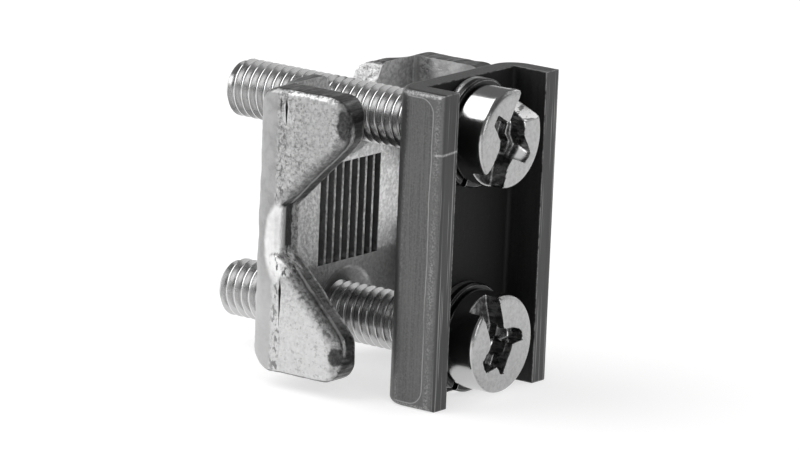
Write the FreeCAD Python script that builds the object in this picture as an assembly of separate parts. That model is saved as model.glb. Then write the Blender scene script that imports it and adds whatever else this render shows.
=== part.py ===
import FreeCAD, Part
import math
import os

# Prism clamp for a flat terminal bar. Two screws pull a folded jaw with V-notched
# flanks towards the web of a steel channel, and hold a conductor between the two.
# Frame: +X along the screws towards their heads, +Y along the conductor, +Z up.
# The origin is under the middle of the screws' length, at the foot of the channel.
# All sizes are in millimetres and all angles in degrees.

# Channel bracket, bent from steel strip, open towards the heads
channel_height = 42.2
channel_width = 26.0
channel_depth = 8.6
channel_wall = 3.4
channel_bend_r = 3.85      # outside of the bends
channel_inner_r = 0.5
channel_edge_r = 0.9       # worn edges of its outer skin
web_hole_d = 9.0

# Screws, M8 x 40, with a slot and a cross in one head
screw_pitch = 27.5         # from one screw to the other
screw_d = 7.87             # over the crests of the thread
screw_length = 40.0        # under the head
tip_chamfer = 0.8
head_d = 13.2
head_height = 5.0
head_edge = 0.45           # bevel round the face
slot_width = 2.1
slot_depth = 2.4
slot_torn_width = 3.4      # at the rim, where a driver has torn the slot open
cross_span = 9.2
cross_width = 1.9
cross_floor_share = 0.5    # width of a wing at its floor, as a share of its mouth
cross_core_d = 4.4
cross_depth = 3.4
slot_turns = {"upper": 63.0, "lower": 106.0}
torn_ends = {"upper": -1, "lower": 1}
lip_start = 1.5            # from the middle of the upper head to its pressed-in lip
lip_turn = 11.0            # of the line where the lip starts
lip_slope = 34.0

# Spring washers, one under each head
washer_d = 14.6
washer_bore_gap = 0.17     # radial, round the screw
washer_thick = 2.0
washer_edge = 0.25         # bevel of its outer corners
washer_split = 1.0
washer_split_slope = 25.0
washer_split_turn = 155.0
head_gap = 0.05            # from a washer to the head that turns on it

# Jaw, one folded sheet whose flanks pass outside the channel
jaw_sheet = 4.0
jaw_height = 38.2
jaw_side_gap = 0.3         # between a flank and the channel
jaw_bend_r = 4.4           # outside of the bends
jaw_inner_r = 0.6
jaw_edge_r = 1.0           # rolled edges of its outer skin
jaw_opening = 15.6         # from its base to the web, as pictured
ear_reach = 11.8           # from its base to the tips of the ears
ear_outer_r = 2.8          # corner of an ear at the end of the jaw
ear_inner_r = 2.2          # corner of an ear at the mouth of the V
back_cut_x = 3.2           # curved cut at the ends of the bends
back_cut_z = 1.3
notch_rise = 1.7           # from the base to the floor of a V
notch_floor_width = 6.4
notch_floor_r = 0.7
notch_angle = 90.0

# Tapped holes and the hollows in the ends of the base
thread_gap = 0.05          # radial, from a tapped hole to its screw
rim_d = 12.4               # sunk rim of a tapped hole
rim_depth = 1.0
end_mouth_width = 12.4
end_floor_width = 8.8
end_notch_depth = 3.5
end_mouth_r = 1.2
end_floor_r = 1.2

# Ribbed grip on the base
groove_count = 8
groove_pitch = 1.675
groove_width = 1.25
groove_depth = 0.9
groove_length = 13.5

# Cracks in the outer face of the near flank, beside its bend
crack_width = 0.5
crack_depth = 0.7
crack_widest = 0.3         # of its length, from its upper end
crack_rise = 2.1           # from the plane of the base
long_crack_start = 5.6     # below the middle
long_crack_length = 7.4
short_crack_start = 1.1    # below the top of the flank
short_crack_length = 3.8

# Places that follow from the sizes
overrun = 1.0              # of a cutting tool past the face that it cuts
nearness = 1e-4            # within which two places count as one
mid_z = channel_height / 2
head_face_x = (screw_length + head_height) / 2
under_head_x = head_face_x - head_height
tip_x = under_head_x - screw_length
washer_x = under_head_x - head_gap - washer_thick
web_x = washer_x - channel_wall
screw_r = screw_d / 2
base_x = web_x - jaw_opening
back_x = base_x - jaw_sheet
ear_x = base_x + ear_reach
inner_half_width = channel_width / 2 + jaw_side_gap
outer_half_width = inner_half_width + jaw_sheet
half_height = jaw_height / 2
screw_heights = {"upper": mid_z + screw_pitch / 2, "lower": mid_z - screw_pitch / 2}

V = FreeCAD.Vector
X_AXIS = V(1, 0, 0)
Z_AXIS = V(0, 0, 1)
ORIGIN = V(0, 0, 0)


def rounded_outline(corners, place):
    """Closed wire through (a, b, radius) corners; place turns a and b into a point in space."""
    points = [V(a, b, 0) for a, b, radius in corners]
    arcs = []
    for i, corner in enumerate(corners):
        radius = corner[2]
        here = points[i]
        before = (points[i - 1] - here).normalize()
        after = (points[(i + 1) % len(points)] - here).normalize()
        if radius == 0:
            arcs.append((here, None, here))
            continue
        half_angle = before.getAngle(after) / 2
        reach = radius / math.tan(half_angle)
        inward = (before + after).normalize()
        middle = here + inward * (radius / math.sin(half_angle) - radius)
        arcs.append((here + before * reach, middle, here + after * reach))
    edges = []
    for i, (start, middle, end) in enumerate(arcs):
        if middle is not None:
            edges.append(Part.Arc(place(start), place(middle), place(end)).toShape())
        next_start = arcs[(i + 1) % len(arcs)][0]
        edges.append(Part.LineSegment(place(end), place(next_start)).toShape())
    return Part.Wire(edges)


def cylinder_x(radius, x_from, x_to, z):
    return Part.makeCylinder(radius, x_to - x_from, V(x_from, 0, z), X_AXIS)


def edges_where(shape, test):
    """Edges whose start, middle and end all pass the test."""
    found = []
    for edge in shape.Edges:
        first, last = edge.ParameterRange
        if all(test(edge.valueAt(t)) for t in (first, (first + last) / 2, last)):
            found.append(edge)
    return found


def is_near(value, target):
    return abs(value - target) < nearness


def on_bent_skin(point, skin_x, half_width, bend_r):
    """True on the outer skin of a bent sheet: its back, its bends and its flanks."""
    bend_end_x = skin_x + bend_r
    bend_end_y = half_width - bend_r
    if point.x > bend_end_x - nearness:
        return is_near(abs(point.y), half_width)
    if abs(point.y) < bend_end_y + nearness:
        return is_near(point.x, skin_x)
    return is_near(math.hypot(point.x - bend_end_x, abs(point.y) - bend_end_y), bend_r)


def bent_sheet(skin_x, end_x, half_width, wall, bend_r, inner_r, z_from, height):
    """Sheet bent into a U that is open towards +X."""
    inner = half_width - wall
    corners = [
        (skin_x, -half_width, bend_r),
        (end_x, -half_width, 0),
        (end_x, -inner, 0),
        (skin_x + wall, -inner, inner_r),
        (skin_x + wall, inner, inner_r),
        (end_x, inner, 0),
        (end_x, half_width, 0),
        (skin_x, half_width, bend_r),
    ]
    section = Part.Face(rounded_outline(corners, lambda p: V(p.x, p.y, z_from)))
    return section.extrude(V(0, 0, height))


def make_channel_bracket():
    """Bent channel with worn outer edges and two clearance holes in its web."""
    half_width = channel_width / 2
    end_x = web_x + channel_depth
    body = bent_sheet(web_x, end_x, half_width, channel_wall, channel_bend_r,
                      channel_inner_r, 0, channel_height)

    def on_outer_rim(point):
        at_end = is_near(point.z, 0) or is_near(point.z, channel_height)
        at_rim = at_end or is_near(point.x, end_x)
        return at_rim and on_bent_skin(point, web_x, half_width, channel_bend_r)

    body = body.makeFillet(channel_edge_r, edges_where(body, on_outer_rim))
    for z in screw_heights.values():
        body = body.cut(cylinder_x(web_hole_d / 2, web_x - overrun, washer_x + overrun, z))
    return body


def flank_outline():
    """Side view of the jaw: curved cuts at the back, two ears and the V between them."""
    floor_x = base_x + notch_rise
    floor_z = notch_floor_width / 2
    slope = math.tan(math.radians(notch_angle / 2))
    tip_z = floor_z + (ear_x - floor_x) * slope
    cut_r = (back_cut_x ** 2 + back_cut_z ** 2) / (2 * back_cut_z)
    half_sweep = math.asin(back_cut_x / cut_r) / 2
    cut_centre = V(back_x + back_cut_x, half_height - cut_r, 0)
    cut_middle = cut_centre + V(-math.sin(half_sweep), math.cos(half_sweep), 0) * cut_r
    cut_low = V(back_x, half_height - back_cut_z, 0)
    cut_high = V(back_x + back_cut_x, half_height, 0)
    place = lambda p, side: V(p.x, -outer_half_width - overrun, mid_z + side * p.y)

    corners = [
        (cut_high.x, half_height, 0),
        (ear_x, half_height, ear_outer_r),
        (ear_x, tip_z, ear_inner_r),
        (floor_x, floor_z, notch_floor_r),
        (floor_x, -floor_z, notch_floor_r),
        (ear_x, -tip_z, ear_inner_r),
        (ear_x, -half_height, ear_outer_r),
        (cut_high.x, -half_height, 0),
    ]
    wire = rounded_outline(corners, lambda p: place(p, 1))
    closing_x = cut_high.x
    edges = []
    for edge in wire.Edges:
        closes = all(is_near(vertex.Point.x, closing_x) for vertex in edge.Vertexes)
        if not closes:
            edges.append(edge)
    for side in (1, -1):
        curve = Part.Arc(place(cut_high, side), place(cut_middle, side), place(cut_low, side))
        edges.append(curve.toShape())
    edges.append(Part.LineSegment(place(cut_low, 1), place(cut_low, -1)).toShape())
    return Part.Wire(Part.__sortEdges__(edges))


def end_notch(side):
    """Tool for the hollow in one end of the base, flared at its mouth."""
    mouth = end_mouth_width / 2
    floor = end_floor_width / 2
    top = half_height
    clear = mouth + 2 * end_mouth_r
    corners = [
        (-clear, top + overrun, 0),
        (-clear, top, 0),
        (-mouth, top, end_mouth_r),
        (-floor, top - end_notch_depth, end_floor_r),
        (floor, top - end_notch_depth, end_floor_r),
        (mouth, top, end_mouth_r),
        (clear, top, 0),
        (clear, top + overrun, 0),
    ]
    place = lambda p: V(back_x - overrun, p.x, mid_z + side * p.y)
    face = Part.Face(rounded_outline(corners, place))
    return face.extrude(V(jaw_sheet + 2 * overrun, 0, 0))


def groove(y):
    """Tool for one V groove of the grip, upright on the face of the base."""
    corners = [V(base_x - groove_depth, y, 0), V(base_x, y - groove_width / 2, 0),
               V(base_x + overrun, y - groove_width / 2, 0),
               V(base_x + overrun, y + groove_width / 2, 0), V(base_x, y + groove_width / 2, 0)]
    start = V(0, 0, mid_z - groove_length / 2)
    outline = [corner + start for corner in corners]
    face = Part.Face(Part.makePolygon(outline + [outline[0]]))
    return face.extrude(V(0, 0, groove_length))


def crack(x, z_top, length):
    """Wedge that opens a crack in the near flank and dies out at both its ends."""
    skin_y = -outer_half_width
    spread = crack_width / 2 * (crack_depth + overrun) / crack_depth
    widest_z = z_top - crack_widest * length
    middle = [V(x - spread, skin_y - overrun, widest_z), V(x + spread, skin_y - overrun, widest_z),
              V(x, skin_y + crack_depth, widest_z)]
    faces = []
    for end in (V(x, skin_y, z_top), V(x, skin_y, z_top - length)):
        for i in range(3):
            side = [middle[i], middle[(i + 1) % 3], end]
            faces.append(Part.Face(Part.makePolygon(side + [side[0]])))
    return Part.makeSolid(Part.makeShell(faces))


def make_prism_jaw():
    """Folded sheet with V-notched flanks, ribbed base, tapped holes and hollowed ends."""
    body = bent_sheet(back_x, ear_x + overrun, outer_half_width, jaw_sheet, jaw_bend_r,
                      jaw_inner_r, mid_z - half_height - overrun, jaw_height + 2 * overrun)
    side_view = Part.Face(flank_outline())
    body = body.common(side_view.extrude(V(0, 2 * (outer_half_width + overrun), 0)))

    skin = []
    for edge in edges_where(body, lambda p: on_bent_skin(p, back_x, outer_half_width, jaw_bend_r)):
        runs_up = edge.BoundBox.ZLength > nearness and edge.BoundBox.XLength < nearness
        between_faces = runs_up and edge.CenterOfMass.x < back_x + jaw_bend_r + nearness
        if not between_faces:
            skin.append(edge)
    body = body.makeFillet(jaw_edge_r, skin)
    tools = [end_notch(1), end_notch(-1)]
    for z in screw_heights.values():
        bore_r = screw_r + thread_gap
        tools.append(cylinder_x(bore_r, back_x - overrun, base_x + overrun, z))
        flare = (rim_d / 2 - bore_r) / rim_depth
        tools.append(Part.makeCone(bore_r, rim_d / 2 + flare * overrun, rim_depth + overrun,
                                   V(base_x - rim_depth, 0, z), X_AXIS))
    first_y = -groove_pitch * (groove_count - 1) / 2
    for i in range(groove_count):
        tools.append(groove(first_y + i * groove_pitch))
    crack_x = base_x + crack_rise
    tools.append(crack(crack_x, mid_z - long_crack_start, long_crack_length))
    tools.append(crack(crack_x, mid_z + half_height - short_crack_start, short_crack_length))
    return body.cut(tools)


def head_recess(turn, torn_end):
    """Slot and cross in the face of a head on the X axis; one end of the slot is torn open."""
    reach = head_d / 2 + overrun
    floor_x = head_face_x - slot_depth
    half = slot_width / 2
    torn = slot_torn_width / 2
    slot_outline = [
        (-reach, -half, 0),
        (0, -half, 0),
        (reach, -torn, 0),
        (reach, torn, 0),
        (0, half, 0),
        (-reach, half, 0),
    ]
    place = lambda p: V(floor_x, torn_end * p.x, p.y)
    slot = Part.Face(rounded_outline(slot_outline, place)).extrude(V(slot_depth + overrun, 0, 0))
    tools = [slot]
    for turn_on in (0, 90):
        sections = []
        floor_width = cross_width * cross_floor_share
        for x, span, width in ((head_face_x - cross_depth, cross_core_d, floor_width),
                               (head_face_x, cross_span, cross_width)):
            corners = [(-span / 2, -width / 2, 0), (span / 2, -width / 2, 0),
                       (span / 2, width / 2, 0), (-span / 2, width / 2, 0)]
            sections.append(rounded_outline(corners, lambda p, x=x: V(x, p.x, p.y)))
        wing = Part.makeLoft(sections, True, True)
        wing.rotate(ORIGIN, X_AXIS, turn_on)
        tools.append(wing)
    recess = tools[0].multiFuse(tools[1:])
    recess.rotate(ORIGIN, X_AXIS, turn)
    return recess


def pressed_lip():
    """Tool for the lip beside the slot that a slipping driver has pressed in."""
    reach = head_d / 2 + overrun
    slab = Part.makeBox(reach, 2 * reach, reach, V(head_face_x, -reach, 0))
    slab.rotate(V(head_face_x, 0, 0), V(0, 1, 0), -lip_slope)
    slab.translate(V(0, 0, lip_start))
    slab.rotate(ORIGIN, X_AXIS, lip_turn)
    beside_slot = Part.makeBox(reach, reach, 2 * reach, V(under_head_x + overrun, -reach, -reach))
    beside_slot.rotate(ORIGIN, X_AXIS, slot_turns["upper"] - 90)
    return slab.cut(beside_slot)


def make_screw(place_name):
    """Turned screw with its slot and cross; the thread lies inside its outside diameter."""
    corners = [
        (tip_x, 0, 0),
        (tip_x, screw_r - tip_chamfer, 0),
        (tip_x + tip_chamfer, screw_r, 0),
        (under_head_x, screw_r, 0),
        (under_head_x, head_d / 2, 0),
        (head_face_x - head_edge, head_d / 2, 0),
        (head_face_x, head_d / 2 - head_edge, 0),
        (head_face_x, 0, 0),
    ]
    section = Part.Face(rounded_outline(corners, lambda p: V(p.x, p.y, 0)))
    body = section.revolve(ORIGIN, X_AXIS, 360)
    body = body.cut(head_recess(slot_turns[place_name], torn_ends[place_name]))
    if place_name == "upper":
        body = body.cut(pressed_lip())
    body.translate(V(0, 0, screw_heights[place_name]))
    return body


def make_spring_washer(place_name):
    """Ring of square section with one sloping cut through it."""
    bore_r = screw_r + washer_bore_gap
    outer_r = washer_d / 2
    head_side_x = washer_x + washer_thick
    corners = [
        (washer_x, bore_r, 0),
        (head_side_x, bore_r, 0),
        (head_side_x, outer_r - washer_edge, 0),
        (head_side_x - washer_edge, outer_r, 0),
        (washer_x + washer_edge, outer_r, 0),
        (washer_x, outer_r - washer_edge, 0),
    ]
    section = Part.Face(rounded_outline(corners, lambda p: V(p.x, p.y, 0)))
    ring = section.revolve(ORIGIN, X_AXIS, 360)
    middle_x = washer_x + washer_thick / 2
    gap = Part.makeBox(3 * washer_thick, washer_split, washer_d,
                       V(middle_x - 1.5 * washer_thick, -washer_split / 2, 0))
    gap.rotate(V(middle_x, 0, 0), Z_AXIS, washer_split_slope)
    ring = ring.cut(gap)
    ring.rotate(ORIGIN, X_AXIS, washer_split_turn)
    ring.translate(V(0, 0, screw_heights[place_name]))
    return ring


def save(shape, name):
    """Writes one piece, and stops if it isn't a single sound solid."""
    if len(shape.Solids) != 1:
        raise RuntimeError(f"{name} has {len(shape.Solids)} solids")
    solid = shape.Solids[0]
    if not solid.isValid():
        raise RuntimeError(f"{name} is not a sound solid")
    solid.exportStep(f"parts/{name}.step")
    bounds = solid.BoundBox
    print(name, "volume", round(solid.Volume, 1), "faces", len(solid.Faces),
          "x", round(bounds.XMin, 2), round(bounds.XMax, 2),
          "y", round(bounds.YMin, 2), round(bounds.YMax, 2),
          "z", round(bounds.ZMin, 2), round(bounds.ZMax, 2))


os.makedirs("parts", exist_ok=True)
save(make_channel_bracket(), "channel_bracket")
save(make_prism_jaw(), "prism_jaw")
for place_name in screw_heights:
    save(make_screw(place_name), f"{place_name}_screw")
    save(make_spring_washer(place_name), f"{place_name}_spring_washer")
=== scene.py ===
"""The looks of a prism clamp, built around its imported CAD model.

The screws get real threads and worn recesses, and the folded jaw a finer skin with rolled
edges, burrs and dents. The steel channel and the washers keep their CAD shapes. Every
surface gets a finish made of shader nodes. Lengths are in metres in Blender, and values
written in millimetres are multiplied by MM.
"""

import math

import bmesh
import bpy
from mathutils import Matrix, Vector, noise


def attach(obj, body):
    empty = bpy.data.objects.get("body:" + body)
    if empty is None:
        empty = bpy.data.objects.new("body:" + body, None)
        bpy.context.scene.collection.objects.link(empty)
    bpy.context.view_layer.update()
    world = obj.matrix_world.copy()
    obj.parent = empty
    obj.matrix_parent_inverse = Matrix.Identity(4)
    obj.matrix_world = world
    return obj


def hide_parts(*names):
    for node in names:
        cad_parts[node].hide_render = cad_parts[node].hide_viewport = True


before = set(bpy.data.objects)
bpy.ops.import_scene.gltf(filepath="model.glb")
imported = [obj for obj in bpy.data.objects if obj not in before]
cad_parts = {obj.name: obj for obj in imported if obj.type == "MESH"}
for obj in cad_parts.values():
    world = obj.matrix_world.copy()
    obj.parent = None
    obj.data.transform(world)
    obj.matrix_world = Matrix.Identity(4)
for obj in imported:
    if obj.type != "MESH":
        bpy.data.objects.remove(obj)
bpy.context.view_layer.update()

MM = 0.001
PER_MM = 1000.0

# Places of the pieces, in millimetres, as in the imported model
middle_z = 21.1
screw_offset = 13.75
screw_heights = {"upper_screw": middle_z + screw_offset, "lower_screw": middle_z - screw_offset}
tip_x = -22.5
under_head_x = 17.5
head_face_x = 22.5
web_x = 12.05

# Channel: half its width, and the inner faces of its flanges and its web
channel_half_width = 13.0
flange_inner_y = 9.6
web_inner_x = 15.45

# The thread of a screw, in millimetres
pitch = 1.25
crest_radius = 3.935
tip_chamfer = 0.8
thread_steps = 84
sunk_in_head = 0.4

# One pitch of the thread: distance along the screw from a crest, and depth below it
thread_profile = [
    (0.0, 0.0), (0.06, 0.0), (0.43, 0.64), (0.52, 0.72), (0.625, 0.75),
    (0.73, 0.72), (0.82, 0.64), (1.19, 0.0),
]

# Head of a screw: its radius, the sides of its circle, and the fineness of its skin
head_radius = 6.6
head_sides = 96
head_grain = 0.13

# Half section of a head: place along the screw, and radius
head_section = [
    (under_head_x, 0.0), (under_head_x, 6.25), (17.6, 6.45), (17.85, head_radius),
    (21.75, head_radius), (22.05, 6.56), (22.27, 6.44), (22.41, 6.25), (22.48, 6.0),
    (head_face_x, 5.6), (head_face_x, 0.0),
]

# Outlines of the two worn recesses on the head faces, along +Y and +Z from the centre
upper_recess = [
    (2.3, 7.0), (1.58, 5.91), (0.45, 4.3), (-0.71, 2.7), (-1.0, 2.42), (-1.61, 2.79),
    (-2.35, 3.2), (-3.27, 3.73), (-3.8, 3.1), (-4.13, 2.41), (-3.3, 1.3), (-2.73, 0.23),
    (-2.75, -0.86), (-3.6, -2.2), (-4.49, -3.36), (-5.2, -4.1), (-6.4, -5.4),
    (-1.5, -7.4), (-1.19, -5.98), (-1.0, -4.7), (-0.76, -3.62), (-0.3, -3.2),
    (0.25, -2.57), (1.6, -3.0), (3.01, -3.57), (3.75, -3.0), (4.31, -2.38),
    (3.5, -1.0), (2.74, 0.19), (2.9, 1.2), (2.62, 2.0), (2.75, 3.09), (3.5, 4.9),
    (4.4, 6.7),
]
lower_recess = [
    (-5.6, 6.3), (-4.4, 4.2), (-3.6, 2.6), (-2.71, 0.7), (-2.94, -0.32), (-3.6, -0.9),
    (-4.33, -1.71), (-4.0, -2.6), (-3.44, -3.29), (-2.2, -3.1), (-1.13, -2.92),
    (-0.7, -3.4), (-0.34, -3.99), (0.48, -4.12), (0.63, -3.4), (1.2, -2.2),
    (1.55, -1.75), (1.9, -1.11), (2.25, -0.3), (3.4, -0.2), (4.5, -0.1), (4.4, 0.87),
    (3.6, 1.5), (2.2, 1.9), (0.9, 1.95), (0.14, 2.11), (-0.1, 3.2), (-0.5, 4.4),
    (-0.92, 5.58), (-1.2, 7.2),
]

# Depths below the face of a head, and how much the slot narrows towards its floor
slot_depth = 2.4
slot_draft = 0.06
cross_top = 1.2
cross_depth = 3.6

# Wings of the cross at their top and their floor, corners between them, and turns
wing_reach = 2.9
wing_half_width = 0.9
floor_reach = 2.4
floor_half_width = 0.7
core_corner = 1.3
core_floor_share = 0.8
upper_cross_turn = 51.0
lower_cross_turn = 61.0

# Lip beside the slot of the upper head, pressed in by a slipping driver
lip_start = 1.9
lip_turn = 2.0
lip_slope = 58.0
upper_slot_turn = 63.0

# Sloping end of one wing in the upper recess: distance along the wing, and depth
facet_turn = -39.0
facet_half_width = 1.3
facet_section = [(3.7, 1.7), (4.95, 0.1), (5.6, 0.1), (5.6, 2.6), (3.7, 2.6)]

# Jaw: planes of a flank, floor and sides of the V, tips of the ears, and half its height
outer_y = 17.3
inner_y = 13.3
notch_floor_x = -1.85
notch_half_floor = 3.2
ear_tip_x = 8.25
half_height = 19.1

# Grip on the base of the jaw
groove_pitch = 1.675
grip_half_width = 6.5
grip_half_height = 6.75

# Wear of the jaw: rolled edges of the V and the ears, cut-off corners, and burrs
roll_width = 1.8
roll_drop = 1.5
corner_cut = 1.5
burr_height = 0.5
burr_drop = 0.3

# Fineness of the jaw's skin: rings along the edges, by the corners of the V, and between
edge_rings = (0.15, 0.4, 0.75, 1.2, 1.75)
corner_rings = (-0.3, 0.3, 0.9, 1.5)
skin_spacing = 0.6
weld_distance = 0.0004


def add_object(name, data):
    """Put an object with this data in the scene."""
    made = bpy.data.objects.new(name, data)
    bpy.context.scene.collection.objects.link(made)
    return made


def place_camera():
    """Set the camera at the photograph's angle and framing."""
    camera_distance = 0.9
    azimuth = math.radians(36.0)
    elevation = math.radians(13.1)
    roll = math.radians(2.5)
    right = Vector((math.cos(azimuth), math.sin(azimuth), 0.0))
    back = Vector((
        math.sin(azimuth) * math.cos(elevation),
        -math.cos(azimuth) * math.cos(elevation),
        math.sin(elevation),
    ))
    up = back.cross(right)
    rolled_right = math.cos(roll) * right + math.sin(roll) * up
    rolled_up = math.cos(roll) * up - math.sin(roll) * right
    data = bpy.data.cameras.new("photo_camera")
    data.sensor_width = 36.0
    data.lens = 307.8
    data.shift_x = -0.0546
    data.shift_y = 0.005
    data.clip_start = 0.01
    data.clip_end = 20.0
    camera = add_object("photo_camera", data)
    turn = Matrix((rolled_right, rolled_up, back)).transposed().to_4x4()
    aimed_at = Vector((web_x, 0.0, middle_z)) * MM
    camera.matrix_world = Matrix.Translation(aimed_at + back * camera_distance) @ turn
    bpy.context.scene.camera = camera


def object_from(bm, name):
    """Make an object in the scene from a bmesh."""
    mesh = bpy.data.meshes.new(name)
    bm.to_mesh(mesh)
    bm.free()
    return add_object(name, mesh)


def solid_from(bm, name):
    """Make an object from a closed bmesh, with its faces turned outwards."""
    bmesh.ops.recalc_face_normals(bm, faces=bm.faces)
    return object_from(bm, name)


def apply_modifiers(piece):
    """Bake the modifiers of a piece into its mesh."""
    depsgraph = bpy.context.evaluated_depsgraph_get()
    mesh = bpy.data.meshes.new_from_object(piece.evaluated_get(depsgraph))
    piece.modifiers.clear()
    old = piece.data
    piece.data = mesh
    bpy.data.meshes.remove(old)


def cut(piece, cutter, operation="DIFFERENCE"):
    """Cut a piece with another solid, or join that solid to it."""
    modifier = piece.modifiers.new("cut", "BOOLEAN")
    modifier.operation = operation
    modifier.solver = "EXACT"
    modifier.object = cutter
    apply_modifiers(piece)
    bpy.data.objects.remove(cutter)


def slice_mesh(bm, place, direction, cap=False):
    """Cut a mesh along a plane, in millimetres; with a cap, what lies beyond it goes."""
    point = Vector(place) * MM
    normal = Vector(direction)
    everything = bm.verts[:] + bm.edges[:] + bm.faces[:]
    bmesh.ops.bisect_plane(bm, geom=everything, plane_co=point, plane_no=normal,
                           clear_outer=cap)
    if cap:
        rim = [edge for edge in bm.edges if edge.is_boundary
               and all(abs((vert.co - point).dot(normal)) < 1e-7 for vert in edge.verts)]
        bmesh.ops.edgeloop_fill(bm, edges=rim)


def shade_by_angle(piece, degrees, shaft_degrees=None):
    """Shade smoothly but for sharper edges; the shaft of a screw may have its own angle."""
    bm = bmesh.new()
    bm.from_mesh(piece.data)
    for face in bm.faces:
        face.smooth = True
    for edge in bm.edges:
        on_shaft = shaft_degrees is not None and edge.verts[0].co.x < under_head_x * MM
        limit = shaft_degrees if on_shaft else degrees
        edge.smooth = edge.calc_face_angle(0.0) < math.radians(limit)
    bm.to_mesh(piece.data)
    bm.free()


def point_around(bm, axis_z, x, radius, angle):
    """Add a point at a radius and an angle round the axis of a screw."""
    y = radius * math.cos(angle)
    z = axis_z + radius * math.sin(angle)
    return bm.verts.new((x * MM, y * MM, z * MM))


def make_thread(name, axis_z):
    """Wind the right-hand thread of one screw, with a chamfered tip."""
    bm = bmesh.new()
    overrun = 2.0 * pitch
    start = tip_x - overrun
    turns = math.ceil((under_head_x + overrun - start) / pitch)
    rows = []
    for step in range(turns * thread_steps + 1):
        angle = 2.0 * math.pi * step / thread_steps
        row = []
        for along, depth in thread_profile:
            x = start + pitch * step / thread_steps + along
            tip_limit = crest_radius - max(0.0, tip_x + tip_chamfer - x)
            radius = min(crest_radius - depth, tip_limit)
            row.append(point_around(bm, axis_z, x, radius, angle))
        rows.append(row)
    for step in range(turns * thread_steps):
        here = rows[step]
        there = rows[step + 1]
        for k in range(len(thread_profile) - 1):
            bm.faces.new((here[k], there[k], there[k + 1], here[k + 1]))
        if step + thread_steps + 1 < len(rows):
            over = rows[step + thread_steps]
            beyond = rows[step + thread_steps + 1]
            bm.faces.new((here[-1], there[-1], beyond[0], over[0]))
    slice_mesh(bm, (tip_x, 0.0, 0.0), (-1.0, 0.0, 0.0), cap=True)
    slice_mesh(bm, (under_head_x + sunk_in_head, 0.0, 0.0), (1.0, 0.0, 0.0), cap=True)
    return solid_from(bm, name)


def make_cutter(name, axis_z, top_depth, top, floor_depth, floor):
    """Make the solid between two outlines below the face of a head."""
    bm = bmesh.new()
    rings = []
    for depth, outline in ((top_depth, top), (floor_depth, floor)):
        x = head_face_x - depth
        rings.append([bm.verts.new((x * MM, y * MM, (axis_z + z) * MM)) for y, z in outline])
    count = len(top)
    for k in range(count):
        after = (k + 1) % count
        bm.faces.new((rings[0][k], rings[0][after], rings[1][after], rings[1][k]))
    bm.faces.new(rings[0])
    bm.faces.new(rings[1])
    return solid_from(bm, name)


def make_slot_cutter(recess, axis_z):
    """Make the solid that cuts a worn slot, narrowing a little towards its floor."""
    overrun = 1.0
    wider = 1.0 + 0.2 * slot_draft
    narrower = 1.0 - slot_draft
    top = [(wider * y, wider * z) for y, z in recess]
    floor = [(narrower * y, narrower * z) for y, z in recess]
    return make_cutter("slot_cutter", axis_z, -overrun, top, slot_depth, floor)


def make_cross_cutter(axis_z, turn_degrees):
    """Make the solid that cuts the tapered cross below the slot, with its four wings."""
    top = []
    floor = []
    for wing in range(4):
        angle = math.radians(turn_degrees + 90.0 * wing)
        along = Vector((math.cos(angle), math.sin(angle)))
        across = Vector((-along.y, along.x))
        for side in (-1.0, 1.0):
            top.append(along * wing_reach + across * side * wing_half_width)
            floor.append(along * floor_reach + across * side * floor_half_width)
        corner = along * core_corner + across * core_corner
        top.append(corner)
        floor.append(corner * core_floor_share)
    return make_cutter("cross_cutter", axis_z, cross_top, top, cross_depth, floor)


def make_wing_facet(axis_z):
    """Make the solid that leaves a sloping end in one wing of the upper recess."""
    angle = math.radians(facet_turn)
    along = Vector((0.0, math.cos(angle), math.sin(angle)))
    across = Vector((0.0, -math.sin(angle), math.cos(angle)))
    bm = bmesh.new()
    for reach, depth in facet_section:
        for side in (-facet_half_width, facet_half_width):
            middle = Vector((head_face_x - depth, 0.0, axis_z))
            bm.verts.new((middle + along * reach + across * side) * MM)
    bmesh.ops.convex_hull(bm, input=bm.verts[:])
    return solid_from(bm, "wing_facet")


def make_lip_cutter(axis_z):
    """Make the sloping solid that cuts the pressed-in lip, on one side of the slot only."""
    thick, half_long, high = 8.0, 9.0, 12.0
    corners = [
        Vector((x, y, z))
        for x in (0.0, thick) for y in (-half_long, half_long) for z in (0.0, high)
    ]
    middle = Vector((head_face_x, 0.0, axis_z))
    slope = Matrix.Rotation(math.radians(-lip_slope), 3, "Y")
    turn = Matrix.Rotation(math.radians(lip_turn), 3, "X")
    bm = bmesh.new()
    for corner in corners:
        placed = turn @ (slope @ corner + Vector((0.0, 0.0, lip_start)))
        bm.verts.new((placed + middle) * MM)
    bmesh.ops.convex_hull(bm, input=bm.verts[:])
    along_slot = math.radians(upper_slot_turn)
    past_slot = (0.0, -math.sin(along_slot), math.cos(along_slot))
    slice_mesh(bm, middle, past_slot, cap=True)
    return solid_from(bm, "lip_cutter")


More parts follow.
